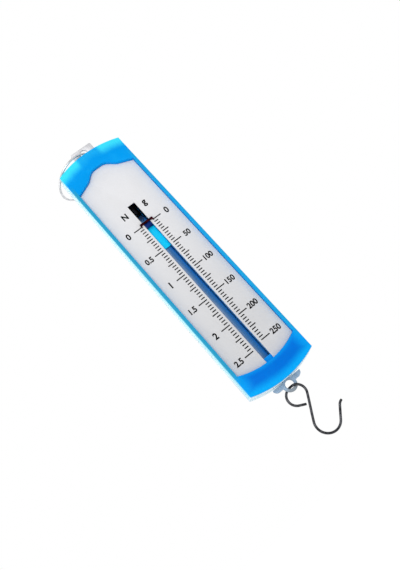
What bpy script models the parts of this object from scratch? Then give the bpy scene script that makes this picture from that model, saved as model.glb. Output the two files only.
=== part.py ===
"""Bar-type spring dynamometer for 2.5 N, as used in school laboratories.

A flat two-shell case carries a slotted scale plate. A slide with a pointer runs in a channel behind the slot,
pulled down by a rod with an eye and an S-hook and held up by an extension spring. A wire ring hangs the case.
Metres, +Z up, front facing -Y. The origin is the centre of the suspension hole in the hanger plate.
"""

import math

import bmesh
import bpy
import numpy as np
from mathutils import Matrix, Vector

MM = 0.001

# Fits
FIT = 0.3 * MM              # gap between pieces that seat on each other or slide past each other
OVERCUT = 1.0 * MM          # how far a cutter runs past the face that it opens
WELD = 0.001 * MM           # points closer than this are one point

# Case
CASE_WIDTH = 45.0 * MM
CASE_WALL = 1.8 * MM
BACK_WALL = 1.5 * MM
END_RISE = 4.1 * MM         # arch of the top and bottom ends
EDGE_ROUND = 0.5 * MM
SCALE_LENGTH = 100.0 * MM   # zero line to the 2.5 N line
ZERO_BELOW_TOP = 61.8 * MM
FOOT_BELOW_SCALE = 23.1 * MM
RIB_COUNT = 6
RIB_THICK = 1.0 * MM
RIB_HEIGHT = 1.0 * MM

# Recess in the face, with its stepped top outline and arched foot
RIM_WIDTH = 1.9 * MM
RECESS_DEPTH = 3.2 * MM
FLOOR = 1.5 * MM
RECESS_TOP = 49.5 * MM      # crown above the zero line
RECESS_CORNER = 40.1 * MM   # side corners above the zero line
SHOULDER_SLOPE = 0.42
CROWN_FLAT = 2.0 * MM
CROWN_REACH = 11.5 * MM
RECESS_FOOT = 10.2 * MM     # lowest point below the 2.5 N line
RECESS_FOOT_RISE = 4.5 * MM
PLATE_THICK = 0.5 * MM
SLOT_WIDTH = 5.1 * MM
SLOT_TOP = 16.3 * MM        # above the zero line
SLOT_FOOT = 7.0 * MM        # end of the slot in the floor, below the 2.5 N line

# Hanger plate and ring
HANGER_SETBACK = 5.0 * MM   # front rim to the middle of the hanger plate
HANGER_WIDTH = 15.0 * MM
HANGER_THICK = 1.5 * MM
HANGER_TOP = 4.0 * MM       # above the suspension hole's centre
HANGER_CORNER = 0.8 * MM
HANGER_EDGE = 1.0 * MM      # material beside the post holes
HOLE_RADIUS = 2.5 * MM
HOLE_ABOVE_CASE = 2.9 * MM
RING_RADIUS = 15.6 * MM
RING_WIRE = 1.4 * MM
RING_TURN = math.radians(45.0)   # heading of the wire where it passes the hole

# Case screws and the posts that take them
POST_RADIUS = 2.0 * MM
POST_SPREAD_FOOT = 14.0 * MM
POST_TOP_DROP = 7.7 * MM    # below the suspension hole
POST_FOOT_RISE = 7.0 * MM   # above the inside of the bottom wall
PAD_RADIUS = 3.4 * MM
PAD_HEIGHT = 1.6 * MM
SCREW_RADIUS = 0.9 * MM
SCREW_HEAD_RADIUS = 1.9 * MM
SCREW_HEAD_HEIGHT = 1.2 * MM
SCREW_REACH = 6.0 * MM      # length under the head
SEAT_DEPTH = 1.7 * MM       # counterbore for a screw head

# Slide, pointer and rod
CHANNEL_PLAY = 0.45 * MM
RAIL_THICK = 1.2 * MM
RAIL_HEIGHT = 4.3 * MM
ROD_WIDTH = 5.0 * MM
ROD_THICK = 3.0 * MM
ROD_ROUND = 0.9 * MM
ROD_TOP = 7.7 * MM          # above the zero line
TONGUE_THICK = 0.9 * MM
TONGUE_LENGTH = 6.0 * MM
LAP_LENGTH = 9.0 * MM
CARRIAGE_THICK = 0.8 * MM
CARRIAGE_CORNER = 0.45 * MM
CARRIAGE_LIP = 0.3 * MM     # how far the slide reaches above the pointer block
OVERTRAVEL = 2.3 * MM
BLOCK_TOP = 2.0 * MM
BLOCK_FOOT = 2.25 * MM
POINTER_TOP = 1.7 * MM
POINTER_SPAN = 9.3 * MM
POINTER_THICK = 0.8 * MM
POINTER_HEIGHT = 1.3 * MM
POINTER_TIP_WIDTH = 1.0 * MM
POINTER_TIP_DROP = 1.1 * MM
POINTER_CORNER = 0.4 * MM
PIN_RADIUS = 0.5 * MM
POINTER_PIN_RADIUS = 0.35 * MM

# Spring and its studs
SPRING_TURNS = 40
SPRING_RADIUS = 2.2 * MM
SPRING_WIRE = 0.5 * MM
SPRING_PLAY = 0.45 * MM     # room round the spring
SPRING_LEAD = 1.75 * MM     # rise from an end loop to the first turn
LOOP_TURN = math.radians(243.0)
POINTS_PER_TURN = 9
STUD_NECK = 0.7 * MM
STUD_FLANGE = 1.5 * MM
STUD_COLLAR = 0.5 * MM
STUD_RISE = 2.4 * MM        # stud above the hanger's lower edge, and below the tongue's upper edge

# Hook eye and S-hook
EYE_RADIUS = 3.5 * MM
EYE_TUBE = 1.0 * MM
EYE_BRIDGE = 0.5 * MM
EAR_SPAN = 19.5 * MM
EAR_HEIGHT = 2.9 * MM
EAR_THICK = 1.7 * MM
EYE_PIN_RADIUS = 0.8 * MM
HOOK_WIRE = 1.5 * MM
HOOK_UPPER_RADIUS = 5.6 * MM
HOOK_LOWER_RADIUS = 7.4 * MM
HOOK_DROP = 20.5 * MM       # upper bend's centre to lower bend's centre
HOOK_OFFSET = 3.5 * MM
HOOK_SIDE = 1.0 * MM        # upper bend's centre, left of the eye's centre
HOOK_TAIL = 4.0 * MM
HOOK_TAIL_TURN = math.radians(243.0)
HOOK_TIP = 8.0 * MM
HOOK_TIP_TURN = math.radians(320.0)
HOOK_FLARE_RADIUS = 5.0 * MM
HOOK_FLARE_TURN = math.radians(36.0)

# Smoothness
ARC_STEPS = 24
ROUND_STEPS = 24
SMALL_STEPS = 16
RING_STEPS = 56
TUBE_STEPS = 8
SHARP = math.radians(35.0)

# Heights
TOP = -HOLE_ABOVE_CASE
ZERO = TOP - ZERO_BELOW_TOP
SCALE_END = ZERO - SCALE_LENGTH
FOOT = SCALE_END - FOOT_BELOW_SCALE
INNER_FOOT = FOOT + CASE_WALL
CROWN = ZERO + RECESS_TOP
HANGER_LOW = CROWN + CASE_WALL + 2 * FIT
STUD_HIGH = HANGER_LOW + STUD_RISE
ROD_HIGH = ZERO + ROD_TOP
STUD_DEEP = ROD_HIGH - STUD_RISE
CARRIAGE_LOW = INNER_FOOT + SCALE_LENGTH + OVERTRAVEL
EYE_TOP = FOOT - FIT
EYE_HEIGHT = EYE_TOP - EYE_BRIDGE - (EYE_RADIUS - EYE_TUBE)
LAP_TOP = INNER_FOOT + LAP_LENGTH


def plane(depth):
    """World Y of a plane that lies depth behind the front rim."""
    return depth - HANGER_SETBACK


# Planes, front to back
FRONT = plane(0.0)
PLATE_BACK = plane(RECESS_DEPTH - FIT)
PLATE_FRONT = PLATE_BACK - PLATE_THICK
POINTER_BACK = PLATE_FRONT - FIT
POINTER_FRONT = POINTER_BACK - POINTER_THICK
FLOOR_FRONT = plane(RECESS_DEPTH)
FLOOR_BACK = plane(RECESS_DEPTH + FLOOR)
HANGER_FRONT = -HANGER_THICK / 2
HANGER_BACK = HANGER_THICK / 2
PARTING = HANGER_BACK + 1.5 * FIT
CARRIAGE_FRONT = FLOOR_BACK + FIT
CARRIAGE_BACK = CARRIAGE_FRONT + CARRIAGE_THICK
ROD_FRONT = CARRIAGE_BACK + FIT
TONGUE_BACK = ROD_FRONT + TONGUE_THICK
ROD_BACK = ROD_FRONT + ROD_THICK
ROD_MIDDLE = (ROD_FRONT + ROD_BACK) / 2
EYE_PLANE = ROD_FRONT + EYE_TUBE
SPRING_OUTER = SPRING_RADIUS + SPRING_WIRE / 2
SPRING_PLANE = max(FLOOR_BACK + SPRING_PLAY + SPRING_OUTER, TONGUE_BACK + FIT + SPRING_WIRE / 2)
BACK_INSIDE = max(SPRING_PLANE + SPRING_OUTER, ROD_BACK) + SPRING_PLAY
BACK = BACK_INSIDE + BACK_WALL
PAD_FRONT = BACK_INSIDE - PAD_HEIGHT
SCREW_SEAT = BACK - SEAT_DEPTH
SCREW_TIP = SCREW_SEAT + FIT - SCREW_REACH

# Widths
CHANNEL_HALF = max(ROD_WIDTH / 2, SPRING_OUTER) + CHANNEL_PLAY
LOOP_RADIUS = STUD_NECK + FIT + SPRING_WIRE / 2
POST_SPREAD_TOP = HANGER_WIDTH / 2 - HANGER_EDGE - FIT - POST_RADIUS
TOP_POSTS = [(side * POST_SPREAD_TOP, -POST_TOP_DROP) for side in (-1, 1)]
FOOT_POSTS = [(side * POST_SPREAD_FOOT, INNER_FOOT + POST_FOOT_RISE) for side in (-1, 1)]


def clear_scene():
    """Removes every object that the start-up scene holds."""
    for old in list(bpy.data.objects):
        bpy.data.objects.remove(old, do_unlink=True)


def new_collection(name):
    """Adds a collection under the scene."""
    group = bpy.data.collections.new(name)
    bpy.context.scene.collection.children.link(group)
    return group


def material(name, colour, roughness, metallic=0.0, transmission=0.0):
    """A Principled material of one colour."""
    made = bpy.data.materials.new(name)
    made.use_nodes = True
    shader = made.node_tree.nodes["Principled BSDF"]
    shader.inputs["Base Color"].default_value = (*colour, 1.0)
    shader.inputs["Roughness"].default_value = roughness
    shader.inputs["Metallic"].default_value = metallic
    shader.inputs["Transmission Weight"].default_value = transmission
    return made


def add_object(name, mesh, group, finish=None):
    """Puts a mesh in a collection as a named object."""
    made = bpy.data.objects.new(name, mesh)
    group.objects.link(made)
    if finish is not None:
        mesh.materials.clear()
        mesh.materials.append(finish)
    return made


def mesh_from_bmesh(name, shape):
    """Turns a bmesh into a mesh whose faces point out."""
    bmesh.ops.recalc_face_normals(shape, faces=shape.faces[:])
    mesh = bpy.data.meshes.new(name)
    shape.to_mesh(mesh)
    shape.free()
    return mesh


def mesh_from_curve(name, curve):
    """Meshes a curve, with its caps welded on."""
    holder = bpy.data.objects.new(name + "_curve", curve)
    bpy.context.scene.collection.objects.link(holder)
    graph = bpy.context.evaluated_depsgraph_get()
    raw = bpy.data.meshes.new_from_object(holder.evaluated_get(graph))
    shape = bmesh.new()
    shape.from_mesh(raw)
    bmesh.ops.remove_doubles(shape, verts=shape.verts[:], dist=WELD)
    bpy.data.objects.remove(holder, do_unlink=True)
    bpy.data.curves.remove(curve)
    bpy.data.meshes.remove(raw)
    return mesh_from_bmesh(name, shape)


def smoothed(mesh):
    """Shades a round mesh smooth, apart from its sharp edges."""
    mesh.shade_smooth()
    mesh.set_sharp_from_angle(angle=SHARP)
    return mesh


def add_spline(curve, points, closed):
    """Adds a run of straight pieces through points to a curve."""
    spline = curve.splines.new("POLY")
    spline.points.add(len(points) - 1)
    for target, point in zip(spline.points, points):
        target.co = (*point, 1.0)
    spline.use_cyclic_u = closed


def extruded(name, outlines, thickness):
    """A flat outline, with holes where outlines lie inside it, thickened evenly about its plane."""
    curve = bpy.data.curves.new(name, "CURVE")
    curve.dimensions = "2D"
    curve.fill_mode = "BOTH"
    curve.extrude = thickness / 2
    for outline in outlines:
        add_spline(curve, [(u, v, 0.0) for u, v in outline], closed=True)
    return mesh_from_curve(name, curve)


def slab(name, outlines, front, back):
    """A flat piece with its outline in X and Z, between two planes of Y."""
    mesh = extruded(name, outlines, back - front)
    upright = Matrix.Rotation(math.pi / 2, 4, "X")
    mesh.transform(Matrix.Translation((0.0, (front + back) / 2, 0.0)) @ upright)
    return mesh


def bar(name, section, low, high):
    """A straight bar with its section in X and Y, between two heights."""
    mesh = extruded(name, [section], high - low)
    mesh.transform(Matrix.Translation((0.0, 0.0, (low + high) / 2)))
    return smoothed(mesh)


def wire(name, points, diameter, resolution):
    """A round wire along a path, with closed ends."""
    curve = bpy.data.curves.new(name, "CURVE")
    curve.dimensions = "3D"
    curve.bevel_depth = diameter / 2
    curve.bevel_resolution = resolution
    curve.use_fill_caps = True
    add_spline(curve, points, closed=False)
    return smoothed(mesh_from_curve(name, curve))


def block(name, low, high):
    """A box between two corners."""
    shape = bmesh.new()
    bmesh.ops.create_cube(shape, size=1.0)
    size = [b - a for a, b in zip(low, high)]
    middle = [(a + b) / 2 for a, b in zip(low, high)]
    place = Matrix.Translation(middle) @ Matrix.Diagonal((*size, 1.0))
    bmesh.ops.transform(shape, matrix=place, verts=shape.verts[:])
    return mesh_from_bmesh(name, shape)


def pin_along_y(name, radius, x, z, front, back):
    """A plain round pin that lies front to back."""
    shape = bmesh.new()
    bmesh.ops.create_cone(
        shape, cap_ends=True, segments=SMALL_STEPS, radius1=radius, radius2=radius, depth=back - front)
    place = Matrix.Translation((x, (front + back) / 2, z)) @ Matrix.Rotation(math.pi / 2, 4, "X")
    bmesh.ops.transform(shape, matrix=place, verts=shape.verts[:])
    return smoothed(mesh_from_bmesh(name, shape))


def turned_along_y(name, profile, x, z, group, finish):
    """A turned piece on a front-to-back axis. The profile lists (radius, y) from back to front."""
    mesh = bpy.data.meshes.new(name)
    verts = [(radius, 0.0, along) for radius, along in profile]
    edges = [(i, i + 1) for i in range(len(profile) - 1)]
    mesh.from_pydata(verts, edges, [])
    made = add_object(name, mesh, group, finish)
    screw = made.modifiers.new("turn", "SCREW")
    screw.steps = SMALL_STEPS
    screw.render_steps = SMALL_STEPS
    screw.use_merge_vertices = True
    screw.merge_threshold = WELD
    screw.use_smooth_shade = True
    made.rotation_euler = (-math.pi / 2, 0.0, 0.0)
    made.location = (x, 0.0, z)


def torus(name, group, major, minor, steps, tube_steps):
    """A ring about Z, moved into a collection."""
    bpy.ops.mesh.primitive_torus_add(
        major_segments=steps, minor_segments=tube_steps, major_radius=major, minor_radius=minor)
    made = bpy.context.object
    made.name = name
    made.data.name = name
    for holder in list(made.users_collection):
        holder.objects.unlink(made)
    group.objects.link(made)
    smoothed(made.data)
    return made


def circle(radius, x, z, steps):
    """Points round a circle."""
    turns = [2 * math.pi * i / steps for i in range(steps)]
    return [(x + radius * math.cos(t), z + radius * math.sin(t)) for t in turns]


def rounded_box(left, right, low, high, radius, steps=4):
    """Outline of a rectangle with rounded corners."""
    corners = [
        (right - radius, high - radius, 0.0), (left + radius, high - radius, 0.5),
        (left + radius, low + radius, 1.0), (right - radius, low + radius, 1.5)]
    points = []
    for x, z, start in corners:
        for i in range(steps + 1):
            turn = math.pi * (start + 0.5 * i / steps)
            points.append((x + radius * math.cos(turn), z + radius * math.sin(turn)))
    return points


def spread(start, end, count):
    """Evenly spaced values from start to end."""
    return [start + (end - start) * i / count for i in range(count + 1)]


def smooth(share):
    """Eases a share from 0 to 1."""
    share = min(max(share, 0.0), 1.0)
    return share * share * (3 - 2 * share)


def arch(x, half, rise):
    """Height of a circular arch above its springing line."""
    radius = (half * half + rise * rise) / (2 * rise)
    return math.sqrt(radius * radius - x * x) - (radius - rise)


def case_outline(inset):
    """Outline of the case, straight at the sides and arched at both ends."""
    half = CASE_WIDTH / 2 - inset
    across = spread(-half, half, ARC_STEPS)
    upper = [(x, TOP - inset - END_RISE + arch(x, half, END_RISE)) for x in across]
    lower = [(-x, FOOT + inset + END_RISE - arch(x, half, END_RISE)) for x in across]
    return upper + lower


def recess_half():
    """Half the width of the recess."""
    return CASE_WIDTH / 2 - RIM_WIDTH


def recess_upper(x):
    """Top edge of the recess: sloping shoulders that sweep up to a crown."""
    shoulder = ZERO + RECESS_CORNER + SHOULDER_SLOPE * (recess_half() - abs(x))
    away = (abs(x) - CROWN_FLAT) / (CROWN_REACH - CROWN_FLAT)
    lift = (1 + math.cos(math.pi * min(max(away, 0.0), 1.0))) / 2
    return shoulder + (CROWN - shoulder) * lift


def recess_lower(x):
    """Arched bottom edge of the recess."""
    return SCALE_END - RECESS_FOOT + RECESS_FOOT_RISE - arch(x, recess_half(), RECESS_FOOT_RISE)


def recess_outline():
    """Outline of the recess in the front shell."""
    half = recess_half()
    upper = [(x, recess_upper(x)) for x in spread(-half, half, 2 * ARC_STEPS)]
    lower = [(x, recess_lower(x)) for x in spread(half, -half, ARC_STEPS)]
    return upper + lower


def plate_outline():
    """Outline of the scale plate, whose slot runs out at its bottom edge."""
    half = recess_half() - FIT
    edge = SLOT_WIDTH / 2
    upper = [(x, recess_upper(x) - FIT) for x in spread(-half, half, 2 * ARC_STEPS)]
    right = [(x, recess_lower(x) + FIT) for x in spread(half, edge, ARC_STEPS // 2)]
    slot = [(edge, ZERO + SLOT_TOP), (-edge, ZERO + SLOT_TOP)]
    left = [(-x, z) for x, z in reversed(right)]
    return upper + right + slot + left


def boolean(target, tool, operation):
    """Cuts a tool out of an object, or joins it on."""
    step = target.modifiers.new(tool.name, "BOOLEAN")
    step.operation = operation
    step.solver = "EXACT"
    step.object = tool


def round_edges(mesh, chosen, width, segments):
    """Rounds the sharp edges whose two ends both lie where chosen says."""
    shape = bmesh.new()
    shape.from_mesh(mesh)
    edges = [e for e in shape.edges if all(chosen(v.co) for v in e.verts) and e.calc_face_angle(0.0) > SHARP]
    bmesh.ops.bevel(shape, geom=edges, offset=width, segments=segments, profile=0.5, affect="EDGES")
    shape.to_mesh(mesh)
    shape.free()


class Workshop:
    """Holds the two collections and makes cutters, joins and finished pieces."""

    def __init__(self):
        self.pieces = new_collection("spring_dynamometer")
        self.tools = new_collection("cutters")

    def piece(self, name, mesh, finish):
        """Adds a piece of the object."""
        return add_object(name, mesh, self.pieces, finish)

    def tool(self, mesh):
        """Adds a shape that only cuts or joins."""
        made = add_object(mesh.name, mesh, self.tools)
        made.hide_render = True
        made.display_type = "WIRE"
        return made

    def cut(self, target, mesh):
        """Cuts a shape out of a piece."""
        boolean(target, self.tool(mesh), "DIFFERENCE")

    def join(self, target, mesh):
        """Joins a shape to a piece."""
        boolean(target, self.tool(mesh), "UNION")

    def pivot(self, name, place):
        """Adds an empty on a joint's axis."""
        made = bpy.data.objects.new(name, None)
        made.location = place
        made.empty_display_size = HOLE_RADIUS
        self.pieces.objects.link(made)
        return made


def rod_opening(name):
    """Cutter for the hole in the bottom wall that the rod slides through, too shallow for the slide."""
    half = ROD_WIDTH / 2 + FIT
    return block(
        name, (-half, ROD_FRONT - FIT, FOOT - OVERCUT),
        (half, ROD_BACK + FIT, INNER_FOOT + OVERCUT))


def make_front_shell(shop, finish):
    """Front shell: rim and recess in front, cavity, guide rails and screw posts behind."""
    mesh = slab("front_shell", [case_outline(0.0)], FRONT, PARTING)
    round_edges(mesh, lambda co: co.y < FRONT + WELD, EDGE_ROUND, 2)
    shell = shop.piece("front_shell", mesh, finish)
    shop.cut(shell, slab("recess_cut", [recess_outline()], FRONT - OVERCUT, FLOOR_FRONT))
    shop.cut(shell, slab("front_cavity_cut", [case_outline(CASE_WALL)], FLOOR_BACK, PARTING + OVERCUT))
    half = SLOT_WIDTH / 2 + FIT
    shop.cut(shell, block(
        "slot_cut", (-half, FLOOR_FRONT - OVERCUT, SCALE_END - SLOT_FOOT),
        (half, FLOOR_BACK + OVERCUT, ZERO + SLOT_TOP + FIT)))
    wide = HANGER_WIDTH / 2 + FIT
    shop.cut(shell, block(
        "hanger_cut", (-wide, HANGER_FRONT - FIT, HANGER_LOW - FIT),
        (wide, PARTING + OVERCUT, TOP + OVERCUT)))
    shop.cut(shell, rod_opening("front_rod_cut"))
    for side, word in ((-1, "left"), (1, "right")):
        edges = sorted((side * CHANNEL_HALF, side * (CHANNEL_HALF + RAIL_THICK)))
        shop.join(shell, block(
            "rail_" + word, (edges[0], FLOOR_BACK - FLOOR / 2, INNER_FOOT + CASE_WALL),
            (edges[1], FLOOR_BACK + RAIL_HEIGHT, CROWN - CASE_WALL)))
    roots = [HANGER_FRONT - 2 * FIT] * 2 + [FLOOR_BACK - FIT] * 2
    for number, ((x, z), root) in enumerate(zip(TOP_POSTS + FOOT_POSTS, roots), 1):
        shop.join(shell, pin_along_y(f"post_{number}", POST_RADIUS, x, z, root, PAD_FRONT - FIT))
        shop.cut(shell, pin_along_y(
            f"pilot_cut_{number}", SCREW_RADIUS + FIT, x, z, SCREW_TIP - FIT, PAD_FRONT + OVERCUT))


def make_rear_shell(shop, finish):
    """Rear shell: flat back with four counterbored screw seats, and side ribs inside."""
    mesh = slab("rear_shell", [case_outline(0.0)], PARTING + FIT, BACK)
    round_edges(mesh, lambda co: co.y > BACK - WELD, EDGE_ROUND, 2)
    shell = shop.piece("rear_shell", mesh, finish)
    shop.cut(shell, slab("rear_cavity_cut", [case_outline(CASE_WALL)], PARTING - OVERCUT, BACK_INSIDE))
    shop.cut(shell, rod_opening("rear_rod_cut"))
    inner = CHANNEL_HALF + RAIL_THICK + FIT
    outer = CASE_WIDTH / 2 - CASE_WALL / 2
    heights = spread(SCALE_END, CROWN - CASE_WALL, RIB_COUNT - 1)
    for number, z in enumerate(heights, 1):
        for side, word in ((-1, "left"), (1, "right")):
            edges = sorted((side * inner, side * outer))
            shop.join(shell, block(
                f"rib_{word}_{number}", (edges[0], BACK_INSIDE - RIB_HEIGHT, z - RIB_THICK / 2),
                (edges[1], BACK_INSIDE + BACK_WALL / 2, z + RIB_THICK / 2)))
    for number, (x, z) in enumerate(TOP_POSTS + FOOT_POSTS, 1):
        shop.join(shell, pin_along_y(f"pad_{number}", PAD_RADIUS, x, z, PAD_FRONT, BACK - BACK_WALL / 2))
        shop.cut(shell, pin_along_y(
            f"hole_cut_{number}", SCREW_RADIUS + FIT, x, z, PAD_FRONT - OVERCUT, SCREW_SEAT + FIT))
        shop.cut(shell, pin_along_y(
            f"seat_cut_{number}", SCREW_HEAD_RADIUS + FIT, x, z, SCREW_SEAT, BACK + OVERCUT))


def make_case_screws(shop, finish):
    """Four domed screws from the back, sunk in their seats."""
    under = SCREW_SEAT + FIT
    edge = under + SCREW_HEAD_HEIGHT / 3
    dome = under + SCREW_HEAD_HEIGHT - edge
    profile = [
        (SCREW_HEAD_RADIUS * math.sin(turn), edge + dome * math.cos(turn))
        for turn in spread(0.0, math.pi / 2, 4)]
    profile += [
        (SCREW_HEAD_RADIUS, under), (SCREW_RADIUS, under),
        (SCREW_RADIUS, SCREW_TIP + SCREW_RADIUS), (0.0, SCREW_TIP)]
    for number, (x, z) in enumerate(TOP_POSTS + FOOT_POSTS, 1):
        turned_along_y(f"case_screw_{number}", profile, x, z, shop.pieces, finish)


def make_scale_plate(shop, finish):
    """Thin slotted plate that lies in the recess."""
    shop.piece("scale_plate", slab("scale_plate", [plate_outline()], PLATE_FRONT, PLATE_BACK), finish)


def make_hanger_plate(shop, finish):
    """Metal hanger plate, held by the upper posts."""
    outline = rounded_box(
        -HANGER_WIDTH / 2, HANGER_WIDTH / 2, HANGER_LOW, HANGER_TOP, HANGER_CORNER)
    holes = [circle(HOLE_RADIUS, 0.0, 0.0, ROUND_STEPS)]
    holes += [circle(STUD_NECK + FIT, 0.0, STUD_HIGH, SMALL_STEPS)]
    holes += [circle(POST_RADIUS + FIT, x, z, ROUND_STEPS) for x, z in TOP_POSTS]
    mesh = slab("hanger_plate", [outline] + holes, HANGER_FRONT, HANGER_BACK)
    shop.piece("hanger_plate", mesh, finish)


def make_studs(shop, finish):
    """Riveted studs with a waist for the spring's end loops, on the hanger and on the rod's tongue."""
    waist_front = SPRING_PLANE - SPRING_WIRE / 2 - FIT
    waist_back = SPRING_PLANE + SPRING_WIRE / 2 + FIT
    flange = [
        (0.0, waist_back + STUD_COLLAR), (STUD_FLANGE, waist_back + STUD_COLLAR),
        (STUD_FLANGE, waist_back), (STUD_NECK, waist_back)]
    collar = [
        (STUD_NECK, waist_front), (STUD_FLANGE, waist_front),
        (STUD_FLANGE, HANGER_BACK + FIT), (STUD_NECK, HANGER_BACK + FIT)]
    upper = flange + collar + [(STUD_NECK, HANGER_FRONT), (0.0, HANGER_FRONT)]
    lower = flange + [(STUD_NECK, ROD_FRONT), (0.0, ROD_FRONT)]
    turned_along_y("spring_stud_upper", upper, 0.0, STUD_HIGH, shop.pieces, finish)
    turned_along_y("spring_stud_lower", lower, 0.0, STUD_DEEP, shop.pieces, finish)


def ring_points(lean, count):
    """Points round the hanging ring's middle line when it leans back below level by lean."""
    strand = Vector((math.cos(RING_TURN), math.sin(RING_TURN), 0.0))
    back = Vector((-math.sin(RING_TURN), math.cos(RING_TURN), 0.0))
    inward = back * math.cos(lean) - Vector((0.0, 0.0, math.sin(lean)))
    turns = [2 * math.pi * i / count for i in range(count)]
    return [RING_RADIUS * (inward * (1 - math.cos(t)) + strand * math.sin(t)) for t in turns]


def outside_case(point):
    """Distance from a point near the top of the case to the case, below zero inside."""
    over = Vector((
        abs(point.x) - CASE_WIDTH / 2,
        max(FRONT - point.y, point.y - BACK),
        point.z - (TOP - END_RISE + arch(min(abs(point.x), CASE_WIDTH / 2), CASE_WIDTH / 2, END_RISE))))
    past = Vector([max(value, 0.0) for value in over]).length
    return past if past > 0.0 else max(over)


def ring_rest_lean():
    """Lean at which the ring, fallen back, comes to rest on the top of the case."""
    lean = -math.pi / 2
    step = math.radians(0.25)
    room = RING_WIRE / 2 + FIT
    while min(outside_case(p) for p in ring_points(lean + step, 180)) > room:
        lean += step
    return lean


def make_hanging_ring(shop, finish):
    """Wire ring through the suspension hole, fallen back on the case."""
    lean = ring_rest_lean()
    ring = torus("hanging_ring", shop.pieces, RING_RADIUS, RING_WIRE / 2, RING_STEPS, TUBE_STEPS)
    ring.data.materials.append(finish)
    pivot = shop.pivot("ring_pivot", (0.0, 0.0, 0.0))
    pivot.rotation_euler = (0.0, 0.0, RING_TURN)
    ring.parent = pivot
    ring.location = (0.0, RING_RADIUS * math.cos(lean), -RING_RADIUS * math.sin(lean))
    ring.rotation_euler = (-lean, 0.0, 0.0)
    print("ring rests at %.2f degrees below level" % math.degrees(lean))


def make_rod(shop, finish):
    """Pull rod: rounded bar with a thin tongue above, for the spring stud, and a half lap below."""
    section = rounded_box(-ROD_WIDTH / 2, ROD_WIDTH / 2, ROD_FRONT, ROD_BACK, ROD_ROUND)
    rod = shop.piece("pull_rod", bar("pull_rod", section, INNER_FOOT, ROD_HIGH), finish)
    wide = ROD_WIDTH / 2 + OVERCUT
    shop.cut(rod, block(
        "tongue_cut", (-wide, TONGUE_BACK, ROD_HIGH - TONGUE_LENGTH),
        (wide, ROD_BACK + OVERCUT, ROD_HIGH + OVERCUT)))
    shop.cut(rod, block(
        "lap_cut", (-wide, ROD_FRONT - OVERCUT, INNER_FOOT - OVERCUT),
        (wide, ROD_MIDDLE + FIT / 2, LAP_TOP)))
    shop.cut(rod, pin_along_y(
        "rod_stud_cut", STUD_NECK + FIT, 0.0, STUD_DEEP, ROD_FRONT - OVERCUT, ROD_BACK + OVERCUT))
    shop.cut(rod, pin_along_y(
        "rod_eye_pin_cut", EYE_PIN_RADIUS + FIT, 0.0, eye_pin_height(), ROD_FRONT, ROD_BACK + OVERCUT))
    shop.cut(rod, pin_along_y(
        "rod_carriage_pin_cut", PIN_RADIUS + FIT, 0.0, carriage_pin_height(),
        ROD_FRONT - OVERCUT, ROD_MIDDLE + FIT))


def eye_pin_height():
    """Height of the pin through the half lap."""
    return INNER_FOOT + LAP_LENGTH / 2


def carriage_pin_height():
    """Height of the pin that holds the slide to the rod."""
    return (CARRIAGE_LOW + ZERO - BLOCK_FOOT) / 2


def pointer_pin_height():
    """Height of the pin through the pointer's cross bar."""
    return ZERO + POINTER_TOP - POINTER_HEIGHT / 2


def make_carriage(shop, finish):
    """Slide in the channel. Its lower end meets the bottom wall at the end of the travel."""
    half = CHANNEL_HALF - FIT
    outline = rounded_box(-half, half, CARRIAGE_LOW, ZERO + BLOCK_TOP + CARRIAGE_LIP, CARRIAGE_CORNER)
    carriage = shop.piece(
        "carriage", slab("carriage", [outline], CARRIAGE_FRONT, CARRIAGE_BACK), finish)
    shop.cut(carriage, pin_along_y(
        "carriage_pin_cut", PIN_RADIUS + FIT, 0.0, carriage_pin_height(),
        CARRIAGE_FRONT + CARRIAGE_THICK / 3, CARRIAGE_BACK + OVERCUT))
    shop.cut(carriage, pin_along_y(
        "carriage_pointer_cut", POINTER_PIN_RADIUS + FIT, 0.0, pointer_pin_height(),
        CARRIAGE_FRONT - OVERCUT, CARRIAGE_BACK + OVERCUT))


def make_pointer(shop, block_finish, pointer_finish):
    """Dark block that fills the slot, and the red cross bar in front of it with turned-down tips."""
    half = SLOT_WIDTH / 2 - FIT
    body = shop.piece("pointer_block", block(
        "pointer_block", (-half, PLATE_FRONT, ZERO - BLOCK_FOOT),
        (half, CARRIAGE_FRONT - FIT, ZERO + BLOCK_TOP)), block_finish)
    z = pointer_pin_height()
    shop.cut(body, pin_along_y(
        "block_pin_cut", POINTER_PIN_RADIUS + FIT, 0.0, z, PLATE_FRONT - OVERCUT, CARRIAGE_FRONT + OVERCUT))
    side = POINTER_SPAN / 2
    high = ZERO + POINTER_TOP
    low = high - POINTER_HEIGHT
    inner = side - POINTER_TIP_WIDTH
    right = [
        (inner, low), ((inner + side) / 2, low - POINTER_TIP_DROP), (side, low - POINTER_TIP_DROP),
        (side, high - POINTER_CORNER), (side - POINTER_CORNER, high)]
    outline = right + [(-x, v) for x, v in reversed(right)]
    bar_mesh = slab("pointer", [outline], POINTER_FRONT, POINTER_BACK)
    pointer = shop.piece("pointer", bar_mesh, pointer_finish)
    shop.cut(pointer, pin_along_y(
        "pointer_pin_cut", POINTER_PIN_RADIUS + FIT / 2, 0.0, z, POINTER_FRONT + POINTER_THICK / 3,
        POINTER_BACK + OVERCUT))


def make_pins(shop, finish):
    """Plain pins: pointer to slide, slide to rod and rod to eye."""
    places = {
        "pointer_pin": (
            POINTER_PIN_RADIUS, pointer_pin_height(), POINTER_BACK - POINTER_THICK / 3, CARRIAGE_BACK),
        "carriage_pin": (PIN_RADIUS, carriage_pin_height(), CARRIAGE_BACK - CARRIAGE_THICK / 3, ROD_MIDDLE),
        "eye_pin": (EYE_PIN_RADIUS, eye_pin_height(), ROD_FRONT, ROD_BACK)}
    for name, (radius, z, front, back) in places.items():
        shop.piece(name, pin_along_y(name, radius, 0.0, z, front, back), finish)


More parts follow.
